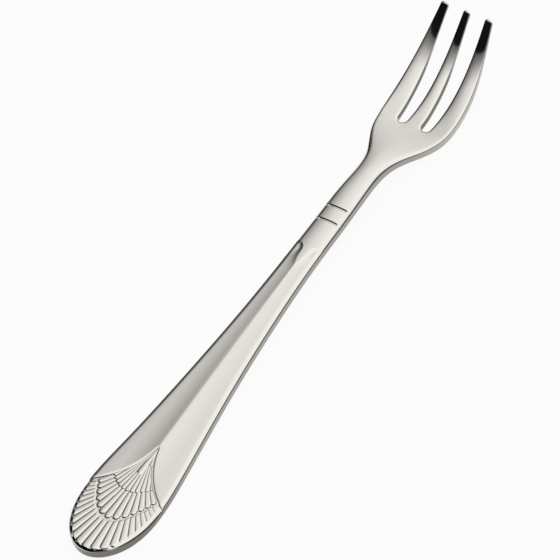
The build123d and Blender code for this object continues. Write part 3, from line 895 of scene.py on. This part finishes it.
# %% [markdown]
# ## A light tent for steel
#
# Steel has no colour of its own to show. It shows the room. Photographers put cutlery under a white tent,
# and darken the cloth where the shape needs a dark side. Lamps and cards could do that here too, but every
# card leaves a hard edge in the mirror. So the tent is one dome that glows by itself, and the brightness of
# its cloth is worked out from the direction in which the steel sees it: darker to the left, which draws the
# left edges, dark low on the right for the bevel, dark near the table, and black behind a flag in front,
# which the bent tips mirror. The camera doesn't see the tent.

# %% Dark sides of the tent
# Directions are parts of 1: X to the fork's right, Y towards its tips, Z up
LEFT_REACH = (-0.65, -0.3)  # Y where the dark left side begins, coming from the front
LEFT_BEFORE = 0.75  # brightness in front of it
RIGHT_REACH = (-0.75, -0.45)
RIGHT_BEFORE = 1.0
RIGHT_LEAN = -0.8  # the dark right side climbs with X
RIGHT_HEIGHT = (-0.1, 0.35)
RIGHT_TONES = (0.06, 1.29)
TABLE_HEIGHT = 0.4
TABLE_TONE = 0.08
SOFT = "SMOOTHSTEP"

# The eye gets no cloth at all, only its light and dark in the steel.
tent_cloth = empty_material("tent_cloth_lit_from_behind")
tree = tent_cloth.node_tree
on_cloth = add_node(tree, "ShaderNodeTexCoord").outputs["Object"]
toward = add_node(tree, "ShaderNodeVectorMath", {0: on_cloth}, operation="NORMALIZE").outputs["Vector"]
axes = add_node(tree, "ShaderNodeSeparateXYZ", {"Vector": toward}).outputs
leftness = add_node(tree, "ShaderNodeMapRange", {"Value": axes["X"], "From Min": -1.0, "From Max": 0.0})
from_left = add_node(tree, "ShaderNodeValToRGB", {"Fac": leftness.outputs["Result"]})
left_side = add_node(tree, "ShaderNodeMapRange", {
    "Value": axes["Y"], "From Min": LEFT_REACH[0], "From Max": LEFT_REACH[1]}, interpolation_type=SOFT)
left_tone = add_node(tree, "ShaderNodeMix", {
    "Factor": left_side.outputs["Result"], "A": LEFT_BEFORE, "B": from_left.outputs["Color"]})
right_height = add_node(tree, "ShaderNodeMath", {
    0: axes["X"], 1: RIGHT_LEAN, 2: axes["Z"]}, operation="MULTIPLY_ADD")
over_right = add_node(tree, "ShaderNodeMapRange", {
    "Value": right_height.outputs["Value"], "From Min": RIGHT_HEIGHT[0], "From Max": RIGHT_HEIGHT[1],
    "To Min": RIGHT_TONES[0], "To Max": RIGHT_TONES[1]}, interpolation_type=SOFT)
right_side = add_node(tree, "ShaderNodeMapRange", {
    "Value": axes["Y"], "From Min": RIGHT_REACH[0], "From Max": RIGHT_REACH[1]}, interpolation_type=SOFT)
right_tone = add_node(tree, "ShaderNodeMix", {
    "Factor": right_side.outputs["Result"], "A": RIGHT_BEFORE, "B": over_right.outputs["Result"]})
table_tone = add_node(tree, "ShaderNodeMapRange", {
    "Value": axes["Z"], "From Min": 0.0, "From Max": TABLE_HEIGHT,
    "To Min": TABLE_TONE, "To Max": 1.0}, interpolation_type=SOFT)
print("the tent is darker on two sides and near the table")

# %% The flag in front
FLAG_LEAN = 0.6  # the flag leans back: the higher it is, the further in front it ends
FLAG_SPAN = (-0.2, 0.3)
FLAG_SIDE = (0.35, 0.75)  # X where it ends to the right
GAP_CLOSING = (-3.0, 1.5)  # the gap under the flag closes to the right as Z grows past a half
GAP_REACH = 0.1  # how far it reaches left of the middle below that
GAP_SIDE = (-0.1, 0.3)
GAP_TONE = 0.42

front_height = add_node(tree, "ShaderNodeMath", {
    0: axes["Z"], 1: FLAG_LEAN, 2: axes["Y"]}, operation="MULTIPLY_ADD")
in_front = add_node(tree, "ShaderNodeMapRange", {
    "Value": front_height.outputs["Value"], "From Min": FLAG_SPAN[0], "From Max": FLAG_SPAN[1]})
over_flag = add_node(tree, "ShaderNodeValToRGB", {"Fac": in_front.outputs["Result"]})
beside_flag = add_node(tree, "ShaderNodeMapRange", {
    "Value": axes["X"], "From Min": FLAG_SIDE[0], "From Max": FLAG_SIDE[1]}, interpolation_type=SOFT)
gap = add_node(tree, "ShaderNodeMath", {
    0: axes["Z"], 1: GAP_CLOSING[0], 2: GAP_CLOSING[1]}, operation="MULTIPLY_ADD")
gap = add_node(tree, "ShaderNodeMath", {0: gap.outputs["Value"], 1: GAP_REACH}, operation="MINIMUM")
gap = add_node(tree, "ShaderNodeMath", {0: gap.outputs["Value"], 1: axes["X"]}, operation="ADD")
under_flag = add_node(tree, "ShaderNodeMapRange", {
    "Value": gap.outputs["Value"], "From Min": GAP_SIDE[0], "From Max": GAP_SIDE[1],
    "To Max": GAP_TONE}, interpolation_type=SOFT)
past_flag = over_flag.outputs["Color"]
for way_round in (beside_flag, under_flag):
    past_flag = add_node(tree, "ShaderNodeMath", {
        0: past_flag, 1: way_round.outputs["Result"]}, operation="MAXIMUM").outputs["Value"]
print("the flag lets light past on", len((over_flag, beside_flag, under_flag)), "sides")

# %% Brightness of the cloth
# Each tone: how far along its ramp, and how bright
TONES_FROM_LEFT = ((0.1, 0.03), (0.25, 0.2), (0.4, 0.56), (0.55, 0.8), (0.7, 0.9), (0.9, 1.0))
TONES_OVER_FLAG = ((0.19, 0.01), (0.21, 0.16), (0.4, 0.4), (0.54, 0.62), (0.72, 0.86), (0.92, 1.0))
for cloth_ramp, tones in ((from_left.color_ramp, TONES_FROM_LEFT), (over_flag.color_ramp, TONES_OVER_FLAG)):
    for stop, (spot, brightness) in enumerate(tones):
        element = cloth_ramp.elements[stop] if stop < 2 else cloth_ramp.elements.new(spot)
        element.position = spot
        element.color = (brightness, brightness, brightness, 1)
level = left_tone.outputs["Result"]
for part in (right_tone.outputs["Result"], table_tone.outputs["Result"], past_flag):
    level = add_node(tree, "ShaderNodeMath", {0: level, 1: part}, operation="MULTIPLY").outputs["Value"]
tent_glow = add_node(tree, "ShaderNodeEmission", {"Color": WHITE, "Strength": level})
add_node(tree, "ShaderNodeOutputMaterial", {"Surface": tent_glow.outputs["Emission"]})
print("tones:", len(TONES_FROM_LEFT), "from the left and", len(TONES_OVER_FLAG), "over the flag")

# %% The dome
TENT_RADIUS = 2.0  # metres
HOOPS = 24
POSTS = 64

tent_points = [(0, 0, TENT_RADIUS)]
for hoop in range(1, HOOPS + 1):
    tilt = np.pi / 2 * hoop / HOOPS
    for post in range(POSTS):
        way = 2 * np.pi * post / POSTS
        direction = np.array((np.sin(tilt) * np.cos(way), np.sin(tilt) * np.sin(way), np.cos(tilt)))
        tent_points.append(tuple(TENT_RADIUS * direction))
tent_faces = [(0, 1 + k, 1 + (k + 1) % POSTS) for k in range(POSTS)]
for hoop in range(HOOPS - 1):
    first = 1 + hoop * POSTS
    second = first + POSTS
    for k in range(POSTS):
        after = (k + 1) % POSTS
        tent_faces.append((first + k, second + k, second + after, first + after))
tent = studio("light_tent", tent_points, tent_faces, tent_cloth)
tent.visible_camera = False
print("tent:", len(tent_faces), "panels")

# %% [markdown]
# ## The camera
#
# The fork lies across the frame from lower left to upper right, seen from the right of the handle's end and
# from about 50 degrees up, with the camera rolled. Its widths hardly shrink towards the tips, so the lens
# is very long and stands far away. The camera could be turned with angles, but three directions in the
# fork's own frame say more plainly what is right, up and near in the picture.

# %% Camera at the picture's angle
LENS = 1400.0
SENSOR = 36.0
FRAME_WIDTH = 118.4  # mm across the picture, at the fork
AIM = Vector((-0.644, 1.36, 5.167))  # mm, in the middle of the picture

to_right = Vector((0.8071, 0.5562, -0.1982))
to_top = Vector((-0.3426, 0.7145, 0.6100))
to_camera = to_right.cross(to_top).normalized()
distance = LENS / SENSOR * FRAME_WIDTH * MM
camera_turn = Matrix((to_right, to_top, to_camera)).transposed().to_4x4()
camera = bpy.data.objects.new("camera", bpy.data.cameras.new("camera"))
camera.data.lens = LENS
camera.data.sensor_width = SENSOR
camera.matrix_world = Matrix.Translation(AIM * MM + to_camera * distance) @ camera_turn
bpy.context.collection.objects.link(camera)
bpy.context.scene.camera = camera
bpy.context.scene.view_settings.view_transform = "Standard"
print(f"camera {distance:.2f} m away")
